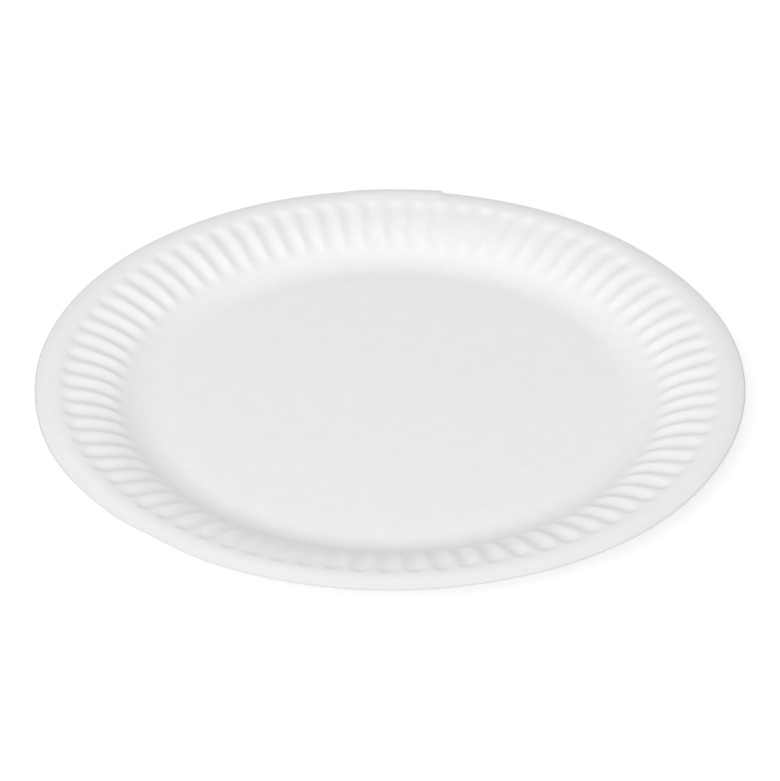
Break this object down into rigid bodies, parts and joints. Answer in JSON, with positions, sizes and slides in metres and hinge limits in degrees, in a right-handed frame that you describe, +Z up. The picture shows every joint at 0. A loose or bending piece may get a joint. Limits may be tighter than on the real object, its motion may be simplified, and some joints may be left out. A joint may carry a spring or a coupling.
{
  "type": "paper plate",
  "caption": "Round white paper plate pressed from one sheet, with a flat floor, a fluted sloping wall and a smooth rounded rim.",
  "frame": {"origin": "centre of the underside of the flat floor, where the plate stands", "axes": "+Z up along the plate's axis, +X to the right in the picture, +Y away from the viewer"},
  "size_m": [0.23, 0.23, 0.0127],
  "materials": {
    "coated_paper": "pressed white paperboard with a thin smooth coating, satin"
  },
  "bodies": {
    "root": {"plate": "coated_paper"}
  },
  "joints": []
}
